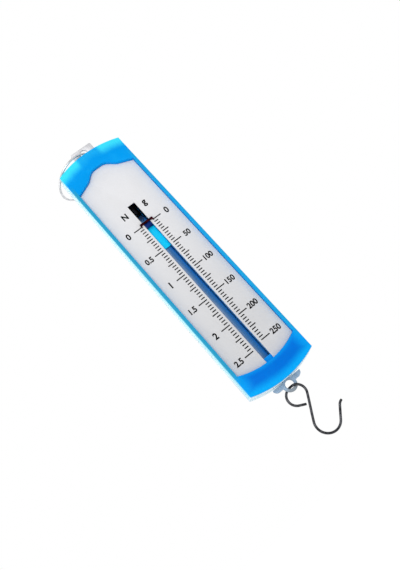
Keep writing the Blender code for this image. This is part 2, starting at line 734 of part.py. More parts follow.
def make_hook_eye(shop, finish):
    """Eye that the S-hook hangs in: ring, two ears that stop under the case, and a tongue into the rod."""
    half = EAR_SPAN / 2
    right = [
        (half - EAR_HEIGHT * (1 - math.cos(t)), EYE_TOP - EAR_HEIGHT * math.sin(t))
        for t in spread(0.0, math.pi / 2, SMALL_STEPS // 2)]
    left = [(-x, z) for x, z in reversed(right)]
    ears = slab("hook_eye", [right + left], EYE_PLANE - EAR_THICK / 2, EYE_PLANE + EAR_THICK / 2)
    eye = shop.piece("hook_eye", ears, finish)
    bore = circle(EYE_RADIUS, 0.0, EYE_HEIGHT, ROUND_STEPS)
    shop.cut(eye, slab("eye_bore_cut", [bore], EYE_PLANE - 2 * EYE_TUBE, EYE_PLANE + 2 * EYE_TUBE))
    ring = torus("eye_ring", shop.tools, EYE_RADIUS, EYE_TUBE, 2 * ROUND_STEPS, SMALL_STEPS)
    ring.location = (0.0, EYE_PLANE, EYE_HEIGHT)
    ring.rotation_euler = (math.pi / 2, 0.0, 0.0)
    ring.hide_render = True
    ring.display_type = "WIRE"
    boolean(eye, ring, "UNION")
    wide = half + OVERCUT
    shop.cut(eye, block(
        "eye_top_cut", (-wide, EYE_PLANE - 3 * EYE_TUBE, EYE_TOP),
        (wide, EYE_PLANE + 3 * EYE_TUBE, EYE_TOP + 2 * EYE_RADIUS)))
    neck = ROD_WIDTH / 2
    shop.join(eye, block(
        "eye_tongue", (-neck, ROD_FRONT, EYE_TOP - EYE_BRIDGE / 2),
        (neck, ROD_MIDDLE - FIT / 2, LAP_TOP - FIT)))
    shop.cut(eye, pin_along_y(
        "eye_pin_cut", EYE_PIN_RADIUS + FIT, 0.0, eye_pin_height(), ROD_FRONT - OVERCUT, ROD_BACK))


def hook_path():
    """Middle line of the S-hook: tail, upper bend that crosses the eye, shank, lower bend, tip and flare."""
    rest = EYE_HEIGHT - EYE_RADIUS + EYE_TUBE + HOOK_WIRE / 2 + 1.5 * FIT
    splay = EYE_TUBE + HOOK_WIRE / 2 + FIT
    upper = Vector((-HOOK_SIDE, rest - HOOK_UPPER_RADIUS))
    lower = upper + Vector((HOOK_OFFSET, -HOOK_DROP))
    span = lower - upper
    heading = math.atan2(span.y, span.x)
    swing = math.acos((HOOK_UPPER_RADIUS + HOOK_LOWER_RADIUS) / span.length)
    leave = heading + swing
    crossing = math.acos(HOOK_SIDE / HOOK_UPPER_RADIUS)
    reach = math.asin((EYE_RADIUS - EYE_TUBE - FIT) / HOOK_UPPER_RADIUS)
    path = []

    def add(flat, stand_off):
        path.append(Vector((flat.x, EYE_PLANE + stand_off, flat.y)))

    def ray(turn):
        return Vector((math.cos(turn), math.sin(turn)))

    def heading_at(turn):
        return Vector((-math.sin(turn), math.cos(turn)))

    tail = upper + HOOK_UPPER_RADIUS * ray(HOOK_TAIL_TURN) + HOOK_TAIL * heading_at(HOOK_TAIL_TURN)
    add(tail, splay)
    for turn in spread(HOOK_TAIL_TURN, leave, ARC_STEPS + ARC_STEPS // 2):
        side = smooth((turn - crossing + reach) / (2 * reach)) * 2 - 1
        add(upper + HOOK_UPPER_RADIUS * ray(turn), side * splay)
    shank_start = upper + HOOK_UPPER_RADIUS * ray(leave)
    shank_end = lower - HOOK_LOWER_RADIUS * ray(leave)
    for share in spread(0.0, 1.0, 5)[1:-1]:
        add(shank_start.lerp(shank_end, share), -splay * (1 - smooth(share)))
    for turn in spread(leave + math.pi, HOOK_TIP_TURN, ARC_STEPS):
        add(lower + HOOK_LOWER_RADIUS * ray(turn), 0.0)
    along = heading_at(HOOK_TIP_TURN)
    outward = ray(HOOK_TIP_TURN)
    bend = lower + HOOK_LOWER_RADIUS * outward + HOOK_TIP * along
    for turn in spread(0.0, HOOK_FLARE_TURN, 4):
        add(bend + HOOK_FLARE_RADIUS * (math.sin(turn) * along + (1 - math.cos(turn)) * outward), 0.0)
    return path


def make_s_hook(shop, finish):
    """Bent wire S-hook that hangs in the eye."""
    shop.piece("s_hook", wire("s_hook", hook_path(), HOOK_WIRE, 2), finish)


def loop_end(z, way):
    """End loop of the spring, from beside a stud round its far side."""
    return [
        Vector((LOOP_RADIUS * math.cos(turn), SPRING_PLANE, z + way * LOOP_RADIUS * math.sin(turn)))
        for turn in spread(0.0, LOOP_TURN, SMALL_STEPS)]


def spring_path():
    """Middle line of the spring: lower loop, close turns and upper loop in one run."""
    low = ROD_HIGH + FIT + SPRING_WIRE / 2
    high = HANGER_LOW - FIT - SPRING_WIRE / 2
    body = []
    for share in spread(0.0, 1.0, SPRING_TURNS * POINTS_PER_TURN):
        turn = 2 * math.pi * SPRING_TURNS * share
        body.append(Vector((
            SPRING_RADIUS * math.cos(turn), SPRING_PLANE + SPRING_RADIUS * math.sin(turn),
            low + SPRING_LEAD + (high - low - 2 * SPRING_LEAD) * share)))
    between = (SPRING_RADIUS + LOOP_RADIUS) / 2
    step_low = Vector((between, SPRING_PLANE, low + SPRING_LEAD / 3))
    step_high = Vector((between, SPRING_PLANE, high - SPRING_LEAD / 3))
    lower = reversed(loop_end(STUD_DEEP, -1))
    return [*lower, step_low, *body, step_high, *loop_end(STUD_HIGH, 1)]


def least_gap(points, diameter):
    """Least gap between stretches of a bent wire that lie over five diameters apart along it."""
    places = np.array([tuple(p) for p in points])
    steps = np.linalg.norm(np.diff(places, axis=0), axis=1)
    along = np.concatenate([[0.0], np.cumsum(steps)])
    apart = np.linalg.norm(places[:, None, :] - places[None, :, :], axis=2)
    apart[np.abs(along[:, None] - along[None, :]) < 5 * diameter] = np.inf
    return float(apart.min()) - diameter


def make_spring(shop, finish):
    """Extension spring, one unbroken wire."""
    path = spring_path()
    print("spring: least gap to itself %.3f mm" % (least_gap(path, SPRING_WIRE) / MM))
    shop.piece("spring", wire("spring", path, SPRING_WIRE, 1), finish)


def carry(pivot, pieces):
    """Makes pieces follow a pivot without moving them."""
    bpy.context.view_layer.update()
    for item in pieces:
        item.parent = pivot
        item.matrix_parent_inverse = pivot.matrix_world.inverted()


def main():
    clear_scene()
    shop = Workshop()
    make_front_shell(shop, material("front_shell_blue", (0.0, 0.27, 0.83), 0.28, transmission=0.25))
    make_rear_shell(shop, material("rear_shell_blue", (0.0, 0.25, 0.80), 0.32, transmission=0.25))
    make_case_screws(shop, material("screw_zinc", (0.62, 0.62, 0.60), 0.35, metallic=1.0))
    make_scale_plate(shop, material("plate_grey", (0.76, 0.77, 0.79), 0.5))
    make_hanger_plate(shop, material("hanger_bright", (0.85, 0.86, 0.87), 0.35, metallic=0.8))
    make_hanging_ring(shop, material("ring_bright", (0.80, 0.80, 0.80), 0.25, metallic=1.0))
    make_studs(shop, material("stud_steel", (0.55, 0.55, 0.56), 0.35, metallic=1.0))
    make_rod(shop, material("rod_grey_blue", (0.20, 0.31, 0.47), 0.4))
    make_carriage(shop, material("carriage_cyan", (0.0, 0.60, 1.0), 0.35))
    make_pointer(
        shop, material("block_navy", (0.0, 0.012, 0.15), 0.35),
        material("pointer_red", (0.16, 0.0, 0.004), 0.35))
    make_pins(shop, material("pin_steel", (0.58, 0.58, 0.58), 0.4, metallic=1.0))
    make_hook_eye(shop, material("eye_grey_blue", (0.28, 0.37, 0.50), 0.4))
    make_s_hook(shop, material("hook_steel", (0.45, 0.45, 0.46), 0.25, metallic=1.0))
    make_spring(shop, material("spring_steel", (0.06, 0.06, 0.07), 0.35, metallic=1.0))

    named = shop.pieces.objects
    slide = shop.pivot("slide_axis", (0.0, ROD_MIDDLE, ZERO))
    carry(slide, [named[name] for name in (
        "pull_rod", "carriage", "carriage_pin", "pointer_block", "pointer", "pointer_pin",
        "spring_stud_lower", "hook_eye", "eye_pin")])
    carry(shop.pivot("hook_pivot", (0.0, EYE_PLANE, EYE_HEIGHT)), [named["s_hook"]])


main()
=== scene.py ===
"""Looks of the bar-type spring dynamometer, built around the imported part.

Every piece is either a refined copy of its CAD node, with rounded edges and smooth shading, or a
finer piece that stands in the same place. The printed scale lies on the plate as thin ink.
Lengths are in metres and angles in radians, in the frame of the part.
"""

import math

import bmesh
import bpy
from mathutils import Matrix, Vector


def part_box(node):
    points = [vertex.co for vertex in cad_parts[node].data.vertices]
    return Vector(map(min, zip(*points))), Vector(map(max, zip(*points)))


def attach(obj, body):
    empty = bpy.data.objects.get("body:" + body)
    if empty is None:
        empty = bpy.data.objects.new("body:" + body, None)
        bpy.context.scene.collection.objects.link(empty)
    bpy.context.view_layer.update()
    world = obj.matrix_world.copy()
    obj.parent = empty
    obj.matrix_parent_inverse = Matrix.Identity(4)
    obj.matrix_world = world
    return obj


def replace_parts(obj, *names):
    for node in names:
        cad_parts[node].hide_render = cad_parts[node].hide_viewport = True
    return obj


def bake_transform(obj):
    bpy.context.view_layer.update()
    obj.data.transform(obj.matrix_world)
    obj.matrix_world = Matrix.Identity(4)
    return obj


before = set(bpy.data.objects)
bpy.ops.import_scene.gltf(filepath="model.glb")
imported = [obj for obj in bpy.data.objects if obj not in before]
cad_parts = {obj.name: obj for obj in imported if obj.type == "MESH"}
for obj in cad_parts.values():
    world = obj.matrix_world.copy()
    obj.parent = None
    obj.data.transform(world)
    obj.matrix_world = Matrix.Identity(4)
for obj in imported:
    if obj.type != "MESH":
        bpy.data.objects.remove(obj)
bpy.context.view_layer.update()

MM = 0.001

# Places and sizes of the part that the finer pieces and the finishes repeat
TOP = -2.9 * MM
FOOT = -187.8 * MM
CASE_HALF = 22.5 * MM
END_RISE = 4.1 * MM           # of the case's arched ends
RECESS_HALF = 20.6 * MM
RECESS_RISE = 4.5 * MM
RECESS_FOOT = -174.9 * MM
PLATE_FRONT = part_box("scale_plate")[0].y
FIT = 0.3 * MM

# Printed scale
ZERO = -64.7 * MM
LEFT, RIGHT = -1, 1
INK_PROUD = 0.02 * MM
INK_SUNK = 0.01 * MM
INK_THICK = INK_PROUD + INK_SUNK
INK_PLACE = PLATE_FRONT + (INK_SUNK - INK_PROUD) / 2
TICK_START = 3.9 * MM
TICK_SHORT = 6.6 * MM
TICK_MIDDLE = 8.1 * MM
TICK_LONG = 10.0 * MM
TICK_THICK = 0.7 * MM
DIVISIONS = 50
MIDDLE_EVERY = 5
LONG_EVERY = 10
NEWTON_PITCH = 2.0 * MM
GRAM_PITCH = 1.961 * MM
NEWTON_LABELS = ("0", "0.5", "1", "1.5", "2", "2.5")
GRAM_LABELS = ("0", "50", "100", "150", "200", "250")
NUMBER_PLACE = 14.35 * MM
NUMBER_HEIGHT = 3.85 * MM
SINGLE_HEIGHT = 4.35 * MM     # of a number of one digit
NUMBER_WIDTH = 0.88           # narrower than the font
NEWTON_SIGN = 4.3 * MM
NEWTON_PLACE = -8.0 * MM
GRAM_SIGN = 4.6 * MM
GRAM_PLACE = 7.2 * MM
UNIT_RISE = 11.7 * MM
STROKE_GAIN = 0.036           # how far strokes are thickened, for characters of height one
CURVE_STEPS = 6

# Wires in general
WIRE_SIDES = 20
COIL_SIDES = 10
END_ROUND = 0.35              # rounding of a wire's ends, as a share of its radius
CAP_SHARES = (0.5, 0.8, 0.96)

# Spring
SPRING_TURNS = 62
SPRING_STEPS = 20             # in a turn
SPRING_RADIUS = 2.2 * MM
SPRING_WIRE = 0.5 * MM
SPRING_PLANE = 2.6 * MM
SPRING_LOW = -56.45 * MM
SPRING_HIGH = -13.35 * MM
SPRING_LEAD = 1.75 * MM       # from a loop to the first turn
COIL_LOW = SPRING_LOW + SPRING_LEAD
COIL_HIGH = SPRING_HIGH - SPRING_LEAD
LOOP_RADIUS = 1.25 * MM
LOOP_TURN = math.radians(243.0)
LOOP_STEPS = 24
STUD_HIGH = -10.4 * MM
STUD_DEEP = -59.4 * MM

# Hanging ring
RING_RADIUS = 15.6 * MM
RING_WIRE = 1.4 * MM
RING_TURN = math.radians(45.0)
RING_LEAN = math.radians(19.5)
RING_SPLIT = 0.15 * MM        # gap where the wire's two ends meet
RING_SPLIT_TURN = math.radians(120.0)
RING_STEPS = 160

# S-hook, and the eye that it hangs in
EYE_HEIGHT = -191.1 * MM
EYE_PLANE = 2.1 * MM
EYE_RADIUS = 3.5 * MM
EYE_TUBE = 1.0 * MM
HOOK_WIRE = 1.5 * MM
HOOK_PLAY = 1.5 * FIT         # between the wire and the eye that it rests on
HOOK_UPPER_RADIUS = 5.6 * MM
HOOK_LOWER_RADIUS = 7.4 * MM
HOOK_DROP = 20.5 * MM
HOOK_OFFSET = 3.5 * MM
HOOK_SIDE = 1.0 * MM
HOOK_TAIL = 4.0 * MM
HOOK_TAIL_TURN = math.radians(243.0)
HOOK_TIP = 8.0 * MM
HOOK_TIP_TURN = math.radians(320.0)
HOOK_FLARE_RADIUS = 5.0 * MM
HOOK_FLARE_TURN = math.radians(36.0)
TAIL_STEPS = 4
UPPER_STEPS = 72
SHANK_STEPS = 12
LOWER_STEPS = 48
TIP_STEPS = 6
FLARE_STEPS = 10

# Screws
SCREW_COUNT = 4
SCREW_SIDES = 48
SCREW_RADIUS = 1.9 * MM
SCREW_SHANK = 0.9 * MM
SCREW_UNDER = 5.6 * MM
SCREW_HEAD = 1.2 * MM
SCREW_RIM = SCREW_HEAD / 3    # straight edge under the dome
SCREW_TIP = -0.4 * MM
CROSS_REACH = 1.15 * MM
CROSS_WIDTH = 0.34 * MM
CROSS_DEPTH = 0.7 * MM
CROSS_RINGS = 9
CROSS_RING_SHARE = 0.12       # of the reach, from ring to ring
CROSS_CLEAR_SHARE = 1.25      # of the reach, the first ring outside the cross
CROSS_SIDE_EASE = 0.5         # shares over which the cross deepens
CROSS_END_EASE = 0.4
DOME_SHARE = 0.9              # of the head's radius, the last ring before its edge
THREADS = 9
NECK_SHARE = 0.8              # shares of the shank's radius
ROOT_SHARE = 0.72
POINT_SHARE = 0.15
CREST_PLACE = 0.4             # shares of a thread's pitch
ROOT_PLACE = 0.9

# Shaping
SHARP = math.radians(32.0)
FLAT = math.radians(0.3)
WELD = 0.002 * MM
ROUND_SEGMENTS = 2
ROUND_PROFILE = 0.6

# Noise: octaves, drawn-out forms and the values between which most of it lies
SOFT, MEDIUM, FINE = 2.0, 3.0, 4.0
NOISE_FALLOFF = 0.55
EVEN = (1.0, 1.0, 1.0)
DRAWN = (1.0, 1.0, 0.25)
NOISE_BAND = (0.3, 0.7)
CLOUD_BAND = (0.35, 0.65)
RISE = (0.0, 1.0)
FALL = (1.0, 0.0)

# Camera, solved from the scale's lines and the case's outline
LENS = 45.88
SENSOR = 36.0
NEAREST = 0.01
CAMERA_PLACE = (-0.0943, -0.3924, -0.2364)
CAMERA_RIGHT = Vector((0.7687, 0.0152, -0.6394))
CAMERA_UP = Vector((0.5998, -0.3644, 0.7124))

# Light and floor
WHITE = (1.0, 1.0, 1.0, 1.0)
WORLD_STRENGTH = 0.70
FLOOR_HEIGHT = -0.36          # under the hook with the rod pulled out
FLOOR_HALF = 4.0
FLOOR_CELLS = 8
FLOOR_COLOUR = (0.86, 0.86, 0.86, 1.0)
FLOOR_ROUGH = 0.9
FLOOR_SHINE = 0.1
FLOOR_LIFT = 0.45             # brings the unshaded floor up to white
LAMP_TARGET = (0.0, 0.0, -0.1)
LAMPS = (                     # name, place, size and power in watts
    ("key", (-0.26, -0.86, 0.1), 0.5, 2.75),
    ("fill", (-0.78, -0.14, 0.0), 0.5, 1.15),
    ("back", (0.1, 0.8, 0.3), 0.7, 1.8),
)


def srgb(red, green, blue):
    """Linear colour of a screen colour from 0 to 255."""
    def linear(value):
        share = value / 255
        return share / 12.92 if share <= 0.04045 else ((share + 0.055) / 1.055) ** 2.4
    return (linear(red), linear(green), linear(blue), 1.0)


class Finish:
    """A Principled material, with short ways to add procedural nodes."""

    def __init__(self, name, values):
        self.material = bpy.data.materials.new(name)
        self.material.use_nodes = True
        self.tree = self.material.node_tree
        self.shader = self.tree.nodes["Principled BSDF"]
        for socket, value in values.items():
            self.shader.inputs[socket].default_value = value
        self.place = self.tree.nodes.new("ShaderNodeTexCoord").outputs["Object"]

    def node(self, kind, inputs, **settings):
        """Adds a node. An input is a number or colour, or another node's output to link."""
        made = self.tree.nodes.new(kind)
        for name, value in settings.items():
            setattr(made, name, value)
        for key, value in inputs.items():
            if isinstance(value, bpy.types.NodeSocket):
                self.tree.links.new(value, made.inputs[key])
            else:
                made.inputs[key].default_value = value
        return made

    def noise(self, grain, detail=MEDIUM, stretch=EVEN):
        """Noise with grains of that size, drawn out along an axis by a stretch below 1."""
        scaled = self.node("ShaderNodeMapping", {"Vector": self.place, "Scale": stretch})
        made = self.node("ShaderNodeTexNoise", {
            "Vector": scaled.outputs["Vector"], "Scale": 1.0 / grain, "Detail": detail,
            "Roughness": NOISE_FALLOFF})
        return made.outputs["Fac"]

    def ramp(self, value, band, ends=RISE):
        """Goes smoothly from one end value to the other while a value crosses a band."""
        made = self.node("ShaderNodeMapRange", {
            "Value": value, "From Min": band[0], "From Max": band[1],
            "To Min": ends[0], "To Max": ends[1]}, interpolation_type="SMOOTHSTEP")
        return made.outputs["Result"]

    def varied(self, grain, ends=RISE, detail=MEDIUM, stretch=EVEN, band=NOISE_BAND):
        """Noise that varies between two end values."""
        return self.ramp(self.noise(grain, detail, stretch), band, ends)

    def math(self, operation, first, second=0.0):
        """One step of arithmetic."""
        return self.node("ShaderNodeMath", {0: first, 1: second}, operation=operation).outputs[0]

    def product(self, *shares):
        """All the shares multiplied."""
        total = shares[0]
        for share in shares[1:]:
            total = self.math("MULTIPLY", total, share)
        return total

    def mix(self, factor, first, second):
        """Mixes two colours."""
        made = self.node("ShaderNodeMix", {0: factor, 6: first, 7: second}, data_type="RGBA")
        return made.outputs[2]

    def axes(self):
        """The X, Y and Z of a point."""
        return self.node("ShaderNodeSeparateXYZ", {"Vector": self.place}).outputs

    def arch(self, aside, half, rise):
        """Rise of an arched edge at a distance from its middle."""
        return self.product(self.math("POWER", self.math("DIVIDE", aside, half), 2.0), rise)

    def colour(self, output):
        """Links the base colour."""
        self.tree.links.new(output, self.shader.inputs["Base Color"])

    def roughness(self, output):
        """Links the roughness."""
        self.tree.links.new(output, self.shader.inputs["Roughness"])

    def bump(self, height, depth):
        """Links a bump of that depth."""
        made = self.node("ShaderNodeBump", {"Height": height, "Strength": 1.0, "Distance": depth})
        self.tree.links.new(made.outputs["Normal"], self.shader.inputs["Normal"])


PLASTIC_IOR = 1.49

# Case: a band gives the start and end of a change along the measure that it follows
CASE_SHINE = 0.04
CASE_CLOUD_GRAIN = 9.0 * MM
CASE_CLOUD = (-0.05, 0.05)
CASE_ROUGH_GRAIN = 2.5 * MM
CASE_ROUGH = (0.24, 0.36)
CASE_SKIN_GRAIN = 1.4 * MM
CASE_SKIN_DEPTH = 0.0015 * MM
# Painted light: the glow bands and glow colours paint the plastic brighter near the top, the foot,
# the corners and below the recess
TOP_GLOW_BAND = (1.5 * MM, 9.0 * MM)        # down from the top
# Painted shade: the top glow is dimmed in the middle, where the hanger plate lies behind the face
TAB_BAND = (6.0 * MM, 9.5 * MM)             # aside, past the hanger plate behind the face
TAB_PAINTED_SHADE = (0.22, 1.0)
FOOT_GLOW_BAND = (0.5 * MM, 7.0 * MM)       # up from the foot
CORNER_GLOW_BAND = (0.0, 8.0 * MM)          # in from a side
CORNER_GLOW = (0.8, 0.0)
RECESS_GLOW_BAND = (0.0, 3.0 * MM)          # down from the recess
RECESS_GLOW = (0.45, 0.0)
LOWER_BAND = (-150.0 * MM, -178.0 * MM)
# UPPER_GLOW and LOWER_GLOW are painted glow colours, mixed over UPPER_BLUE and LOWER_BLUE
UPPER_BLUE = srgb(0, 155, 238)
UPPER_GLOW = srgb(60, 226, 255)
LOWER_BLUE = srgb(0, 114, 219)
LOWER_GLOW = srgb(6, 170, 250)
RIM_BAND = (20.2 * MM, 21.2 * MM)           # aside
RIM_END_BAND = (8.0 * MM, 18.0 * MM)        # in from an end
# Painted light: RIM_LEFT and RIM_RIGHT paint one side of the rim greyer than the other
RIM_CHANGE_BAND = (-5.0 * MM, 5.0 * MM)
RIM_LEFT = srgb(42, 156, 196)
RIM_RIGHT = srgb(30, 164, 222)
# Painted light: the outer walls are painted pale, as if bleached by strong light, paler towards the
# back and at the foot
WALL_SKIN_BAND = (0.25 * MM, 0.7 * MM)      # in from the outside
WALL_FRONT_BAND = (-4.9 * MM, -2.2 * MM)
WALL_BACK_BAND = (5.4 * MM, 6.9 * MM)
WALL_FADE_BAND = (-4.0 * MM, 6.0 * MM)
WALL_FOOT_BAND = (0.3 * MM, 1.2 * MM)
WALL_PAINTED_FRONT = srgb(150, 232, 252)
WALL_PAINTED_BACK = srgb(220, 246, 253)
WALL_PAINTED_FOOT = srgb(224, 246, 254)
# Painted shade inside the slot: near-black in its upper part, fading to a lighter blue of painted
# light on the walls lower down
SLOT_SIDE_BAND = (2.95 * MM, 3.1 * MM)
SLOT_FRONT_BAND = (-1.95 * MM, -1.82 * MM)
SLOT_BACK_BAND = (5.3 * MM, 5.6 * MM)
SLOT_FOOT_BAND = (-171.9 * MM, -171.6 * MM)
SLOT_TOP_BAND = (-47.9 * MM, -47.7 * MM)
SLOT_FADE_BAND = (-66.0 * MM, -58.0 * MM)
SLOT_PAINTED_LIGHT = srgb(90, 178, 235)
SLOT_PAINTED_SHADE = srgb(2, 8, 26)


def case_finish():
    """Translucent blue plastic with painted light: glow at ends and corners, pale walls; painted
    shade in the slot.
    """
    made = Finish("case_blue", {"IOR": PLASTIC_IOR, "Specular IOR Level": CASE_SHINE})
    x, y, z = made.axes()
    aside = made.math("ABSOLUTE", x)
    bend = made.arch(aside, CASE_HALF, END_RISE)
    recess_bend = made.arch(aside, RECESS_HALF, RECESS_RISE)
    from_side = made.math("SUBTRACT", CASE_HALF, aside)
    from_top = made.math("SUBTRACT", made.math("SUBTRACT", TOP, bend), z)
    from_foot = made.math("SUBTRACT", made.math("SUBTRACT", z, FOOT), bend)
    from_recess = made.math("SUBTRACT", made.math("ADD", RECESS_FOOT, recess_bend), z)
    from_end = made.math("MINIMUM", from_top, from_foot)

    cloud = made.varied(CASE_CLOUD_GRAIN, CASE_CLOUD, SOFT)
    # painted light near the top, with painted shade where the hanger plate lies behind the face
    top_glow = made.product(
        made.ramp(from_top, TOP_GLOW_BAND, FALL), made.ramp(aside, TAB_BAND, TAB_PAINTED_SHADE))
    # painted light: glow at the foot, the corners and below the recess
    foot_glow = made.ramp(from_foot, FOOT_GLOW_BAND, FALL)
    for more in (
            made.ramp(from_side, CORNER_GLOW_BAND, CORNER_GLOW),
            made.ramp(from_recess, RECESS_GLOW_BAND, RECESS_GLOW)):
        foot_glow = made.math("MAXIMUM", foot_glow, more)
    upper = made.mix(made.math("ADD", top_glow, cloud), UPPER_BLUE, UPPER_GLOW)
    lower = made.mix(made.math("ADD", foot_glow, cloud), LOWER_BLUE, LOWER_GLOW)
    body = made.mix(made.ramp(z, LOWER_BAND), upper, lower)

    rim = made.product(made.ramp(aside, RIM_BAND), made.ramp(from_end, RIM_END_BAND))
    # painted light that differs from the left of the rim to its right
    body = made.mix(rim, body, made.mix(made.ramp(x, RIM_CHANGE_BAND), RIM_LEFT, RIM_RIGHT))

    # painted light: pale outer walls
    wall = made.product(
        made.ramp(made.math("MINIMUM", from_side, from_end), WALL_SKIN_BAND, FALL),
        made.ramp(y, WALL_FRONT_BAND), made.ramp(y, WALL_BACK_BAND, FALL))
    pale = made.mix(made.ramp(y, WALL_FADE_BAND), WALL_PAINTED_FRONT, WALL_PAINTED_BACK)
    pale = made.mix(made.ramp(from_foot, WALL_FOOT_BAND, FALL), pale, WALL_PAINTED_FOOT)
    body = made.mix(wall, body, pale)

    # painted shade and painted light inside the slot
    slot = made.product(
        made.ramp(aside, SLOT_SIDE_BAND, FALL),
        made.ramp(y, SLOT_FRONT_BAND), made.ramp(y, SLOT_BACK_BAND, FALL),
        made.ramp(z, SLOT_FOOT_BAND), made.ramp(z, SLOT_TOP_BAND, FALL))
    made.colour(made.mix(slot, body, made.mix(made.ramp(z, SLOT_FADE_BAND), SLOT_PAINTED_LIGHT, SLOT_PAINTED_SHADE)))
    made.roughness(made.varied(CASE_ROUGH_GRAIN, CASE_ROUGH))
    made.bump(made.noise(CASE_SKIN_GRAIN, SOFT), CASE_SKIN_DEPTH)
    return made.material


# Plate
PLATE_IOR = 1.46
PLATE_SHINE = 0.15
PLATE_BAND = (-20.0 * MM, -175.0 * MM)
PLATE_TOP = srgb(230, 230, 233)
PLATE_LOW = srgb(207, 207, 209)
PLATE_GRAIN = 0.35 * MM
PLATE_GRAIN_SHARE = (0.0, 0.3)
PLATE_GRAIN_GREY = srgb(216, 216, 216)
PLATE_CLOUD_GRAIN = 14.0 * MM
PLATE_CLOUD_SHARE = (0.0, 0.25)
PLATE_CLOUD_GREY = srgb(221, 221, 222)
PLATE_ROUGH_GRAIN = 0.8 * MM
PLATE_ROUGH = (0.42, 0.56)
PLATE_SKIN_GRAIN = 0.25 * MM
PLATE_SKIN_DEPTH = 0.002 * MM


def plate_finish():
    """Pale grey satin sheet with a fine grain and a faint shading towards its foot."""
    made = Finish("plate_sheet", {"IOR": PLATE_IOR, "Specular IOR Level": PLATE_SHINE})
    z = made.axes()[2]
    base = made.mix(made.ramp(z, PLATE_BAND), PLATE_TOP, PLATE_LOW)
    grain = made.varied(PLATE_GRAIN, PLATE_GRAIN_SHARE, FINE)
    cloud = made.varied(PLATE_CLOUD_GRAIN, PLATE_CLOUD_SHARE, SOFT, band=CLOUD_BAND)
    base = made.mix(grain, base, PLATE_GRAIN_GREY)
    made.colour(made.mix(cloud, base, PLATE_CLOUD_GREY))
    made.roughness(made.varied(PLATE_ROUGH_GRAIN, PLATE_ROUGH))
    made.bump(made.noise(PLATE_SKIN_GRAIN), PLATE_SKIN_DEPTH)
    return made.material


# Moulded plastics of the moving parts
PLASTIC_SHINE = 0.1
PLASTIC_GRAIN = 1.6 * MM
PLASTIC_ROUGH_GRAIN = 0.7 * MM
PLASTIC_ROUGH_SPAN = 0.06
PLASTIC_SKIN_GRAIN = 0.5 * MM
PLASTIC_SKIN_DEPTH = 0.004 * MM
ROD_SHINE = 0.16
ROD_FLOW_GRAIN = 2.2 * MM
ROD_FLOW_FORM = (1.0, 1.0, 0.15)
ROD_FLOW = (-0.3 * MM, 0.3 * MM)
# Painted light across the rod: a greyish painted highlight at its left, deepening to blue at its
# right
ROD_HIGHLIGHT_BAND = (-2.3 * MM, 0.3 * MM)
ROD_RIGHT_BAND = (0.1 * MM, 1.9 * MM)
# Painted shade: the rod's upper tongue fades to near-black
ROD_SHADE_BAND = (-61.0 * MM, -57.4 * MM)
ROD_PAINTED_HIGHLIGHT = srgb(146, 168, 194)
ROD_MIDDLE = srgb(58, 118, 172)
ROD_RIGHT = srgb(22, 106, 180)
ROD_TONGUE_SHADE = srgb(2, 18, 54)
ROD_ROUGH = (0.3, 0.42)
ROD_SKIN_GRAIN = 0.6 * MM
ROD_SKIN_FORM = (1.0, 1.0, 0.3)
# Painted shade: the eye's lower ring, under the hook, is painted greyer
EYE_SHADE_BAND = (-191.0 * MM, -194.2 * MM)
EYE_SHADE_SHARE = (0.0, 0.8)
EYE_DARK = srgb(142, 167, 192)
EYE_LIGHT = srgb(160, 183, 206)
EYE_PAINTED_SHADE = srgb(142, 148, 152)
EYE_ROUGH = (0.34, 0.46)


def rod_finish():
    """Translucent blue rod: a painted greyish highlight at its left, deep blue at its right,
    painted shade on its tongue.
    """
    made = Finish("rod_plastic", {"IOR": PLASTIC_IOR, "Specular IOR Level": ROD_SHINE})
    x, _, z = made.axes()
    place = made.math("ADD", x, made.varied(ROD_FLOW_GRAIN, ROD_FLOW, stretch=ROD_FLOW_FORM))
    # painted highlight at the rod's left, painted shade toward its right
    bar = made.mix(made.ramp(place, ROD_HIGHLIGHT_BAND), ROD_PAINTED_HIGHLIGHT, ROD_MIDDLE)
    bar = made.mix(made.ramp(place, ROD_RIGHT_BAND), bar, ROD_RIGHT)
    # painted shade on the tongue
    made.colour(made.mix(made.ramp(z, ROD_SHADE_BAND), bar, ROD_TONGUE_SHADE))
    made.roughness(made.varied(PLASTIC_ROUGH_GRAIN, ROD_ROUGH))
    made.bump(made.noise(ROD_SKIN_GRAIN, SOFT, ROD_SKIN_FORM), PLASTIC_SKIN_DEPTH)
    return made.material


def plastic_finish(name, dark, light, rough, shine=PLASTIC_SHINE):
    """Moulded plastic of one tone with faint flow lines and a fine skin."""
    made = Finish(name, {"IOR": PLASTIC_IOR, "Specular IOR Level": shine})
    made.colour(made.mix(made.varied(PLASTIC_GRAIN, stretch=DRAWN), dark, light))
    rough_ends = (rough - PLASTIC_ROUGH_SPAN, rough + PLASTIC_ROUGH_SPAN)
    made.roughness(made.varied(PLASTIC_ROUGH_GRAIN, rough_ends))
    made.bump(made.noise(PLASTIC_SKIN_GRAIN, SOFT), PLASTIC_SKIN_DEPTH)
    return made.material


def eye_finish():
    """Grey-blue moulded plastic, with painted shade greying the lower ring under the hook."""
    made = Finish("eye_plastic", {"IOR": PLASTIC_IOR, "Specular IOR Level": PLASTIC_SHINE})
    z = made.axes()[2]
    base = made.mix(made.varied(PLASTIC_GRAIN, stretch=DRAWN), EYE_DARK, EYE_LIGHT)
    # painted shade on the lower ring
    made.colour(made.mix(made.ramp(z, EYE_SHADE_BAND, EYE_SHADE_SHARE), base, EYE_PAINTED_SHADE))
    made.roughness(made.varied(PLASTIC_ROUGH_GRAIN, EYE_ROUGH))
    made.bump(made.noise(PLASTIC_SKIN_GRAIN, SOFT), PLASTIC_SKIN_DEPTH)
    return made.material


